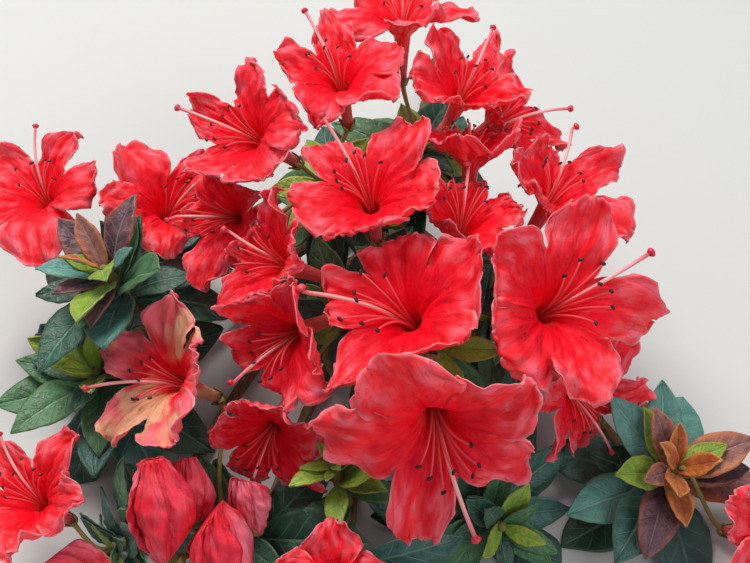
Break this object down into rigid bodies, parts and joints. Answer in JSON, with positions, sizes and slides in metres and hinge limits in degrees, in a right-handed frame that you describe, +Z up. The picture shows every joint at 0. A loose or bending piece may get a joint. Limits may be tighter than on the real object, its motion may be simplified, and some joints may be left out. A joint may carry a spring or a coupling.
{
  "type": "cut flowering azalea branch",
  "caption": "Cut branch of a red evergreen azalea lying on the ground, with leafy side shoots, open funnel blooms and swelling buds.",
  "frame": {"origin": "centre of the bounding box's underside, on the ground", "axes": "+Z up from the ground, -Y towards the front of the flower head, +Y towards the cut end of the stem"},
  "size_m": [0.2395, 0.2363, 0.0962],
  "materials": {
    "petal": "thin silky scarlet petals",
    "bud": "folded crimson bud petals",
    "leaf": "dark green satin leaves",
    "young_leaf": "fresh green leaves",
    "bronze_leaf": "green leaves, bronze and orange among the young ones",
    "bark": "fine flaky brown bark"
  },
  "bodies": {
    "root": {"main_stem": "bark", "shoot_far_left": "bark", "shoot_top": "bark", "shoot_left_leafy": "bark", "shoot_upper_left": "bark", "shoot_left_low": "bark", "shoot_right_leafy": "bark", "shoot_corner": "bark", "shoot_right": "bark", "shoot_left": "bark", "shoot_buds": "bark", "shoot_low_front": "bark", "shoot_low_leafy": "bark", "shoot_young": "bark", "shoot_centre": "bark", "shoot_front": "bark", "bloom_far_left": "petal", "bloom_left_back": "petal", "bloom_back": "petal", "bloom_upper_right": "petal", "bloom_far_right": "petal", "bloom_upper_left": "petal", "bloom_top": "petal", "bloom_mid_left": "petal", "bloom_low_right": "petal", "bloom_corner": "petal", "bloom_right": "petal", "bloom_right_top": "petal", "bloom_right_under": "petal", "bloom_left": "petal", "bloom_low_left": "petal", "bloom_under_left": "petal", "bloom_nodding": "petal", "bloom_bottom": "petal", "bloom_centre": "petal", "bloom_inner_right": "petal", "bloom_inner_top": "petal", "bloom_front": "petal", "bloom_middle": "petal", "bud_corner": "bud", "bud_big_left": "bud", "bud_wrinkled": "bud", "bud_dark": "bud", "bud_big_low": "bud", "leaves_far_left": "leaf", "leaves_top": "leaf", "leaves_left_leafy": "bronze_leaf", "leaves_upper_left": "leaf", "leaves_left_low": "leaf", "leaves_right_leafy": "bronze_leaf", "leaves_corner": "leaf", "leaves_right": "leaf", "leaves_left": "leaf", "leaves_buds": "leaf", "leaves_low_front": "leaf", "leaves_low_leafy": "leaf", "leaves_young": "young_leaf", "leaves_centre": "leaf", "leaves_front": "leaf"}
  },
  "joints": []
}
